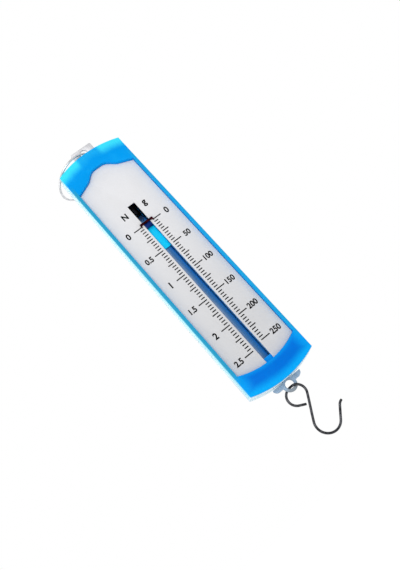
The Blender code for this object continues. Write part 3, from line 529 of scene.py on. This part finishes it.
# Metals
METAL_GRAIN = 0.5 * MM
METAL_CLOUD_GRAIN = 3.0 * MM
METAL_SMOOTHER = 0.07
METAL_ROUGHER = 0.08
METAL_ROUGH_SHARE = 1.7       # of the grain
METAL_SKIN_SHARE = 0.6        # of the grain
METAL_SKIN_DEPTH = 0.002 * MM
BRUSHED = (1.0, 1.0, 0.12)
BRUSHED_GRAIN = 1.2 * MM
HOOK_GRAIN = 1.4 * MM


def metal_finish(name, dark, light, rough, stretch=EVEN, grain=METAL_GRAIN):
    """Drawn or plated metal with fine streaks and cloudy tarnish."""
    made = Finish(name, {"Metallic": 1.0, "Specular Tint": WHITE})
    streak = made.varied(grain, detail=FINE, stretch=stretch)
    cloud = made.varied(METAL_CLOUD_GRAIN, detail=SOFT, band=CLOUD_BAND)
    made.colour(made.mix(made.product(made.math("ADD", streak, cloud), 0.5), dark, light))
    rough_ends = (rough - METAL_SMOOTHER, rough + METAL_ROUGHER)
    made.roughness(made.varied(grain * METAL_ROUGH_SHARE, rough_ends, stretch=stretch))
    made.bump(made.noise(grain * METAL_SKIN_SHARE, MEDIUM, stretch), METAL_SKIN_DEPTH)
    return made.material


# Ink
INK_IOR = 1.5
INK_SHINE = 0.06
INK_GRAIN = 0.3 * MM
INK_DARK = srgb(2, 2, 3)
INK_LIGHT = srgb(13, 13, 15)
INK_ROUGH_GRAIN = 0.4 * MM
INK_ROUGH = (0.4, 0.55)
INK_SKIN_GRAIN = 0.15 * MM
INK_SKIN_DEPTH = 0.003 * MM


def ink_finish():
    """Black screen-printing ink, slightly uneven."""
    made = Finish("scale_ink", {"IOR": INK_IOR, "Specular IOR Level": INK_SHINE})
    made.colour(made.mix(made.noise(INK_GRAIN), INK_DARK, INK_LIGHT))
    made.roughness(made.varied(INK_ROUGH_GRAIN, INK_ROUGH))
    made.bump(made.noise(INK_SKIN_GRAIN, SOFT), INK_SKIN_DEPTH)
    return made.material


def add_piece(name, mesh, finish, body=None):
    """Adds a piece with its finish, riding on a body where one is named."""
    made = bpy.data.objects.new(name, mesh)
    bpy.context.scene.collection.objects.link(made)
    mesh.materials.clear()
    mesh.materials.append(finish)
    if body is not None:
        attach(made, body)
    return made


def shaded(shape, name):
    """Turns a bmesh into a mesh that is smooth but for its sharp edges."""
    bmesh.ops.recalc_face_normals(shape, faces=shape.faces[:])
    mesh = bpy.data.meshes.new(name)
    shape.to_mesh(mesh)
    shape.free()
    mesh.shade_smooth()
    mesh.set_sharp_from_angle(angle=SHARP)
    return mesh


def refined(node, name, rounding, finish, slot, body):
    """Puts a copy of a CAD node, flat faces merged and outer edges rounded, in the node's place."""
    shape = bmesh.new()
    shape.from_mesh(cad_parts[node].data)
    bmesh.ops.remove_doubles(shape, verts=shape.verts[:], dist=WELD)
    bmesh.ops.dissolve_limit(shape, angle_limit=FLAT, verts=shape.verts[:], edges=shape.edges[:])
    bmesh.ops.recalc_face_normals(shape, faces=shape.faces[:])
    edges = [
        edge for edge in shape.edges
        if edge.is_manifold and edge.is_convex and edge.calc_face_angle(0.0) > SHARP]
    bmesh.ops.bevel(
        shape, geom=edges, offset=rounding, segments=ROUND_SEGMENTS, profile=ROUND_PROFILE,
        affect="EDGES", clamp_overlap=True)
    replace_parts(add_piece(name, shaded(shape, name), finish, body), node)


def spread(start, end, count):
    """Evenly spaced values from start to end."""
    return [start + (end - start) * i / count for i in range(count + 1)]


def circle(sides):
    """Evenly spaced turns round a full circle."""
    return [2 * math.pi * i / sides for i in range(sides)]


def smooth(share):
    """Eases a share from 0 to 1."""
    share = min(max(share, 0.0), 1.0)
    return share * share * (3 - 2 * share)


def bridge(shape, rings):
    """Joins rings of points by faces, each to the next."""
    for before, after in zip(rings, rings[1:]):
        sides = len(before)
        for i in range(sides):
            j = (i + 1) % sides
            shape.faces.new((before[i], before[j], after[j], after[i]))


def swept(name, points, diameter, sides):
    """A round wire along a path, with its two ends rounded over."""
    shape = bmesh.new()
    radius = diameter / 2
    count = len(points)
    heads = [
        (points[min(i + 1, count - 1)] - points[max(i - 1, 0)]).normalized() for i in range(count)]
    side = heads[0].orthogonal().normalized()
    stations = []
    for point, head in zip(points, heads):
        side = (side - head * side.dot(head)).normalized()
        stations.append((point, head, side, radius))
    reach = END_ROUND * radius
    caps = [(share, math.sqrt(1 - share * share)) for share in CAP_SHARES]

    def cap(station, way, out, width):
        point, head, across, _ = station
        return (point + way * head * reach * out, head, across, radius - reach * (1 - width))

    front = [cap(stations[0], -1, out, width) for out, width in reversed(caps)]
    rear = [cap(stations[-1], 1, out, width) for out, width in caps]
    rings = []
    for point, head, across, size in front + stations + rear:
        up = head.cross(across)
        rings.append([
            shape.verts.new(point + size * (across * math.cos(t) + up * math.sin(t)))
            for t in circle(sides)])
    bridge(shape, rings)
    shape.faces.new(rings[0])
    shape.faces.new(rings[-1])
    return shaded(shape, name)


def spring_path():
    """Middle line of the spring: lower loop, close turns and upper loop."""
    def loop(z, way):
        return [
            Vector((LOOP_RADIUS * math.cos(t), SPRING_PLANE, z + way * LOOP_RADIUS * math.sin(t)))
            for t in spread(0.0, LOOP_TURN, LOOP_STEPS)]

    turns = []
    for share in spread(0.0, 1.0, SPRING_TURNS * SPRING_STEPS):
        turn = 2 * math.pi * SPRING_TURNS * share
        turns.append(Vector((
            SPRING_RADIUS * math.cos(turn), SPRING_PLANE + SPRING_RADIUS * math.sin(turn),
            COIL_LOW + (COIL_HIGH - COIL_LOW) * share)))
    between = (SPRING_RADIUS + LOOP_RADIUS) / 2
    step_low = Vector((between, SPRING_PLANE, SPRING_LOW + SPRING_LEAD / 3))
    step_high = Vector((between, SPRING_PLANE, SPRING_HIGH - SPRING_LEAD / 3))
    return [*reversed(loop(STUD_DEEP, -1)), step_low, *turns, step_high, *loop(STUD_HIGH, 1)]


def ring_path():
    """Middle line of the hanging ring, from one side of its split to the other."""
    strand = Vector((math.cos(RING_TURN), math.sin(RING_TURN), 0.0))
    back = Vector((-math.sin(RING_TURN), math.cos(RING_TURN), 0.0))
    inward = back * math.cos(RING_LEAN) - Vector((0.0, 0.0, math.sin(RING_LEAN)))
    half_gap = RING_SPLIT / 2 / RING_RADIUS
    first = RING_SPLIT_TURN + half_gap
    last = RING_SPLIT_TURN - half_gap + 2 * math.pi
    return [
        RING_RADIUS * (inward * (1 - math.cos(t)) + strand * math.sin(t))
        for t in spread(first, last, RING_STEPS)]


def hook_path():
    """Middle line of the S-hook: tail, upper bend in the eye, shank, lower bend, tip and flare."""
    rest = EYE_HEIGHT - EYE_RADIUS + EYE_TUBE + HOOK_WIRE / 2 + HOOK_PLAY
    splay = EYE_TUBE + HOOK_WIRE / 2 + FIT
    upper = Vector((-HOOK_SIDE, rest - HOOK_UPPER_RADIUS))
    lower = upper + Vector((HOOK_OFFSET, -HOOK_DROP))
    span = lower - upper
    lean = math.acos((HOOK_UPPER_RADIUS + HOOK_LOWER_RADIUS) / span.length)
    leave = math.atan2(span.y, span.x) + lean
    crossing = math.acos(HOOK_SIDE / HOOK_UPPER_RADIUS)
    reach = math.asin((EYE_RADIUS - EYE_TUBE - FIT) / HOOK_UPPER_RADIUS)
    path = []

    def add(flat, stand_off):
        path.append(Vector((flat.x, EYE_PLANE + stand_off, flat.y)))

    def ray(turn):
        return Vector((math.cos(turn), math.sin(turn)))

    def along(turn):
        return Vector((-math.sin(turn), math.cos(turn)))

    start = upper + HOOK_UPPER_RADIUS * ray(HOOK_TAIL_TURN)
    for share in spread(1.0, 0.0, TAIL_STEPS)[:-1]:
        add(start + share * HOOK_TAIL * along(HOOK_TAIL_TURN), splay)
    for turn in spread(HOOK_TAIL_TURN, leave, UPPER_STEPS):
        side = smooth((turn - crossing + reach) / (2 * reach)) * 2 - 1
        add(upper + HOOK_UPPER_RADIUS * ray(turn), side * splay)
    shank_start = upper + HOOK_UPPER_RADIUS * ray(leave)
    shank_end = lower - HOOK_LOWER_RADIUS * ray(leave)
    for share in spread(0.0, 1.0, SHANK_STEPS)[1:-1]:
        add(shank_start.lerp(shank_end, share), -splay * (1 - smooth(share)))
    for turn in spread(leave + math.pi, HOOK_TIP_TURN, LOWER_STEPS):
        add(lower + HOOK_LOWER_RADIUS * ray(turn), 0.0)
    heading = along(HOOK_TIP_TURN)
    outward = ray(HOOK_TIP_TURN)
    bend = lower + HOOK_LOWER_RADIUS * outward
    for share in spread(0.0, 1.0, TIP_STEPS)[1:-1]:
        add(bend + share * HOOK_TIP * heading, 0.0)
    bend += HOOK_TIP * heading
    for turn in spread(0.0, HOOK_FLARE_TURN, FLARE_STEPS):
        flare = math.sin(turn) * heading + (1 - math.cos(turn)) * outward
        add(bend + HOOK_FLARE_RADIUS * flare, 0.0)
    return path


def screw_mesh(name, x, z):
    """A domed screw with a cross recess, its head to the back and its threaded shank forward."""
    shape = bmesh.new()

    def crown(radius):
        dome = math.sqrt(max(1 - (radius / SCREW_RADIUS) ** 2, 0.0))
        return SCREW_UNDER + SCREW_RIM + (SCREW_HEAD - SCREW_RIM) * dome

    def carved(radius, turn):
        near = min(abs(radius * math.cos(turn)), abs(radius * math.sin(turn)))
        in_arm = smooth((CROSS_WIDTH - near) / (CROSS_SIDE_EASE * CROSS_WIDTH))
        in_reach = smooth((CROSS_REACH - radius) / (CROSS_END_EASE * CROSS_REACH))
        return crown(radius) - CROSS_DEPTH * in_arm * in_reach

    def ring(radius, height):
        return [
            shape.verts.new((x + radius * math.cos(t), height(t), z + radius * math.sin(t)))
            for t in circle(SCREW_SIDES)]

    radii = [CROSS_REACH * CROSS_RING_SHARE * i for i in range(1, CROSS_RINGS + 1)]
    radii += [CROSS_REACH * CROSS_CLEAR_SHARE, SCREW_RADIUS * DOME_SHARE, SCREW_RADIUS]
    rings = [ring(radius, lambda t, r=radius: carved(r, t)) for radius in radii]
    middle = shape.verts.new((x, carved(0.0, 0.0), z))
    below = [(SCREW_RADIUS, SCREW_UNDER), (SCREW_SHANK * NECK_SHARE, SCREW_UNDER)]
    pitch = (SCREW_UNDER - SCREW_TIP - SCREW_SHANK) / THREADS
    for i in range(THREADS):
        level = SCREW_UNDER - i * pitch
        below.append((SCREW_SHANK, level - CREST_PLACE * pitch))
        below.append((SCREW_SHANK * ROOT_SHARE, level - ROOT_PLACE * pitch))
    below.append((SCREW_SHANK * POINT_SHARE, SCREW_TIP))
    rings += [ring(radius, lambda t, h=height: h) for radius, height in below]
    bridge(shape, rings)
    inner = rings[0]
    for i in range(SCREW_SIDES):
        shape.faces.new((middle, inner[i], inner[(i + 1) % SCREW_SIDES]))
    shape.faces.new(rings[-1])
    return shaded(shape, name)


def ticks_mesh(name, side, pitch):
    """The division lines of one scale: long each tenth, middle each fifth, short between."""
    shape = bmesh.new()
    for number in range(DIVISIONS + 1):
        reach = TICK_SHORT
        if number % LONG_EVERY == 0:
            reach = TICK_LONG
        elif number % MIDDLE_EVERY == 0:
            reach = TICK_MIDDLE
        size = (reach - TICK_START, INK_THICK, TICK_THICK, 1.0)
        middle = (side * (TICK_START + reach) / 2, INK_PLACE, ZERO - number * pitch)
        bmesh.ops.create_cube(
            shape, size=1.0, matrix=Matrix.Translation(middle) @ Matrix.Diagonal(size))
    return shaded(shape, name)


def add_text(shape, text, x, z, height):
    """Adds printed characters, centred on a place, to a bmesh."""
    curve = bpy.data.curves.new("print_text", "FONT")
    curve.body = text
    curve.size = 1.0
    curve.extrude = 0.5     # to each side, so the thickness is one before it is scaled
    curve.offset = STROKE_GAIN
    curve.resolution_u = CURVE_STEPS
    holder = bpy.data.objects.new("print_text", curve)
    bpy.context.scene.collection.objects.link(holder)
    graph = bpy.context.evaluated_depsgraph_get()
    mesh = bpy.data.meshes.new_from_object(holder.evaluated_get(graph))
    xs = [v.co.x for v in mesh.vertices]
    ys = [v.co.y for v in mesh.vertices]
    scale = height / (max(ys) - min(ys))
    centre = Matrix.Translation((-(max(xs) + min(xs)) / 2, -(max(ys) + min(ys)) / 2, 0.0))
    sized = Matrix.Diagonal((scale * NUMBER_WIDTH, scale, INK_THICK, 1.0))
    upright = Matrix.Rotation(math.pi / 2, 4, "X")
    mesh.transform(Matrix.Translation((x, INK_PLACE, z)) @ upright @ sized @ centre)
    shape.from_mesh(mesh)
    bpy.data.objects.remove(holder, do_unlink=True)
    bpy.data.curves.remove(curve)
    bpy.data.meshes.remove(mesh)


def text_mesh(name, texts):
    """Printed characters, each given as text, X, Z and height."""
    shape = bmesh.new()
    for text, x, z, height in texts:
        add_text(shape, text, x, z, height)
    bmesh.ops.remove_doubles(shape, verts=shape.verts[:], dist=WELD)
    return shaded(shape, name)


def numbers_mesh(name, labels, side, pitch):
    """The numbers of one scale, one at each long line."""
    return text_mesh(name, [
        (text, side * NUMBER_PLACE, ZERO - LONG_EVERY * number * pitch,
         SINGLE_HEIGHT if len(text) == 1 else NUMBER_HEIGHT)
        for number, text in enumerate(labels)])


# Finishes
case_blue = case_finish()
sheet = plate_finish()
bright = metal_finish(
    "bright_plate", srgb(192, 192, 195), srgb(208, 208, 211), 0.46, BRUSHED, BRUSHED_GRAIN)
steel = metal_finish("blued_steel", srgb(24, 44, 76), srgb(52, 82, 122), 0.36)
rod_blue = rod_finish()
cyan = plastic_finish("slide_plastic", srgb(0, 205, 253), srgb(6, 216, 255), 0.34)
navy = plastic_finish("block_plastic", srgb(0, 26, 90), srgb(2, 42, 116), 0.34)
red = plastic_finish("pointer_plastic", srgb(24, 0, 6), srgb(56, 1, 12), 0.34, shine=0.04)
grey = eye_finish()
wire_bright = metal_finish("ring_wire", srgb(172, 174, 177), srgb(214, 215, 218), 0.26)
wire_dark = metal_finish("spring_wire", srgb(14, 14, 17), srgb(40, 40, 46), 0.32)
hook_steel = metal_finish("hook_wire", srgb(32, 33, 35), srgb(82, 83, 87), 0.24, grain=HOOK_GRAIN)
zinc = metal_finish("screw_zinc", srgb(164, 164, 160), srgb(206, 206, 200), 0.36)
ink = ink_finish()

# Refined copies of CAD nodes: node, piece, rounding, finish, slot and body
for row in (
        ("front_shell", "case_front", 0.18 * MM, case_blue, "case", "case"),
        ("rear_shell", "case_rear", 0.18 * MM, case_blue, "case", "case"),
        ("scale_plate", "plate_sheet", 0.08 * MM, sheet, "plate", "case"),
        ("hanger_plate", "hanger_tab", 0.2 * MM, bright, "hanger", "case"),
        ("spring_stud_upper", "stud_top", 0.1 * MM, steel, "stud", "case"),
        ("spring_stud_lower", "stud_foot", 0.1 * MM, steel, "stud", "slide"),
        ("pull_rod", "rod_bar", 0.12 * MM, rod_blue, "rod", "slide"),
        ("carriage", "slide_strip", 0.12 * MM, cyan, "carriage", "slide"),
        ("carriage_pin", "strip_pin", 0.08 * MM, steel, "pin", "slide"),
        ("pointer_block", "slot_block", 0.15 * MM, navy, "block", "slide"),
        ("pointer", "pointer_bar", 0.12 * MM, red, "pointer", "slide"),
        ("pointer_pin", "bar_pin", 0.08 * MM, steel, "pin", "slide"),
        ("hook_eye", "eye_loop", 0.15 * MM, grey, "eye", "slide"),
        ("eye_pin", "loop_pin", 0.1 * MM, steel, "pin", "slide")):
    refined(*row)

# Finer wires and screws
ring_mesh = swept("ring_loop", ring_path(), RING_WIRE, WIRE_SIDES)
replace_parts(add_piece("ring_loop", ring_mesh, wire_bright, "ring"), "hanging_ring")
hook_mesh = swept("hook_bend", hook_path(), HOOK_WIRE, WIRE_SIDES)
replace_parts(add_piece("hook_bend", hook_mesh, hook_steel, "hook"), "s_hook")
coil_mesh = swept("spring_coil", spring_path(), SPRING_WIRE, COIL_SIDES)
coil = add_piece("spring_coil", coil_mesh, wire_dark)
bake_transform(coil)
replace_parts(coil, "spring")
for number in range(1, SCREW_COUNT + 1):
    low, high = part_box(f"case_screw_{number}")
    name = f"screw_{number}"
    mesh = screw_mesh(name, (low.x + high.x) / 2, (low.z + high.z) / 2)
    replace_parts(add_piece(name, mesh, zinc, "case"), f"case_screw_{number}")

# Printed scale
scales = (
    ("newton", NEWTON_LABELS, LEFT, NEWTON_PITCH),
    ("gram", GRAM_LABELS, RIGHT, GRAM_PITCH))
for unit, _, side, pitch in scales:
    name = f"print_{unit}_lines"
    add_piece(name, ticks_mesh(name, side, pitch), ink, "case")
for unit, labels, side, pitch in scales:
    name = f"print_{unit}_numbers"
    add_piece(name, numbers_mesh(name, labels, side, pitch), ink, "case")
signs = (
    ("N", NEWTON_PLACE, ZERO + UNIT_RISE, NEWTON_SIGN),
    ("g", GRAM_PLACE, ZERO + UNIT_RISE, GRAM_SIGN))
add_piece("print_units", text_mesh("print_units", signs), ink, "case")


def add_camera():
    """Camera at the photograph's viewing angle."""
    lens = bpy.data.cameras.new("camera")
    lens.lens = LENS
    lens.sensor_width = SENSOR
    lens.clip_start = NEAREST
    camera = bpy.data.objects.new("camera", lens)
    bpy.context.scene.collection.objects.link(camera)
    back = CAMERA_RIGHT.cross(CAMERA_UP)
    axes = Matrix((CAMERA_RIGHT, CAMERA_UP, back)).transposed().to_4x4()
    camera.matrix_world = Matrix.Translation(CAMERA_PLACE) @ axes
    bpy.context.scene.camera = camera


def white_rays(tree):
    """Share that is 1 for camera, glossy and transmission rays."""
    path = tree.nodes.new("ShaderNodeLightPath")
    total = path.outputs["Is Camera Ray"]
    for kind in ("Is Glossy Ray", "Is Transmission Ray"):
        step = tree.nodes.new("ShaderNodeMath")
        step.operation = "MAXIMUM"
        tree.links.new(total, step.inputs[0])
        tree.links.new(path.outputs[kind], step.inputs[1])
        total = step.outputs[0]
    return total


def add_world():
    """Even pale light all round, white to the camera and in reflections."""
    world = bpy.data.worlds.new("studio")
    bpy.context.scene.world = world
    world.use_nodes = True
    tree = world.node_tree
    light = tree.nodes["Background"]
    light.inputs["Strength"].default_value = WORLD_STRENGTH
    light.inputs["Color"].default_value = WHITE
    seen = tree.nodes.new("ShaderNodeBackground")
    seen.inputs["Color"].default_value = WHITE
    blend = tree.nodes.new("ShaderNodeMixShader")
    tree.links.new(white_rays(tree), blend.inputs[0])
    tree.links.new(light.outputs[0], blend.inputs[1])
    tree.links.new(seen.outputs[0], blend.inputs[2])
    tree.links.new(blend.outputs[0], tree.nodes["World Output"].inputs["Surface"])


def add_floor():
    """Plain pale floor under the hook. It looks white where nothing shades it."""
    shape = bmesh.new()
    bmesh.ops.create_grid(shape, x_segments=FLOOR_CELLS, y_segments=FLOOR_CELLS, size=FLOOR_HALF)
    bmesh.ops.translate(shape, vec=(0.0, 0.0, FLOOR_HEIGHT), verts=shape.verts[:])
    mesh = bpy.data.meshes.new("floor")
    shape.to_mesh(mesh)
    shape.free()
    floor = bpy.data.objects.new("floor", mesh)
    bpy.context.scene.collection.objects.link(floor)
    made = bpy.data.materials.new("floor_pale")
    made.use_nodes = True
    tree = made.node_tree
    shader = tree.nodes["Principled BSDF"]
    shader.inputs["Base Color"].default_value = FLOOR_COLOUR
    shader.inputs["Roughness"].default_value = FLOOR_ROUGH
    shader.inputs["Specular IOR Level"].default_value = FLOOR_SHINE
    shader.inputs["Emission Color"].default_value = WHITE
    strength = tree.nodes.new("ShaderNodeMath")
    strength.operation = "MULTIPLY"
    strength.inputs[1].default_value = FLOOR_LIFT
    tree.links.new(white_rays(tree), strength.inputs[0])
    tree.links.new(strength.outputs[0], shader.inputs["Emission Strength"])
    mesh.materials.append(made)


def add_lamp(name, place, size, power):
    """A soft square lamp that faces the object."""
    lamp = bpy.data.lights.new(name, "AREA")
    lamp.size = size
    lamp.energy = power
    holder = bpy.data.objects.new(name, lamp)
    bpy.context.scene.collection.objects.link(holder)
    holder.location = place
    facing = Vector(LAMP_TARGET) - Vector(place)
    holder.rotation_euler = facing.to_track_quat("-Z", "Y").to_euler()


add_camera()
add_world()
add_floor()
for lamp in LAMPS:
    add_lamp(*lamp)
bpy.context.scene.view_settings.view_transform = "Standard"
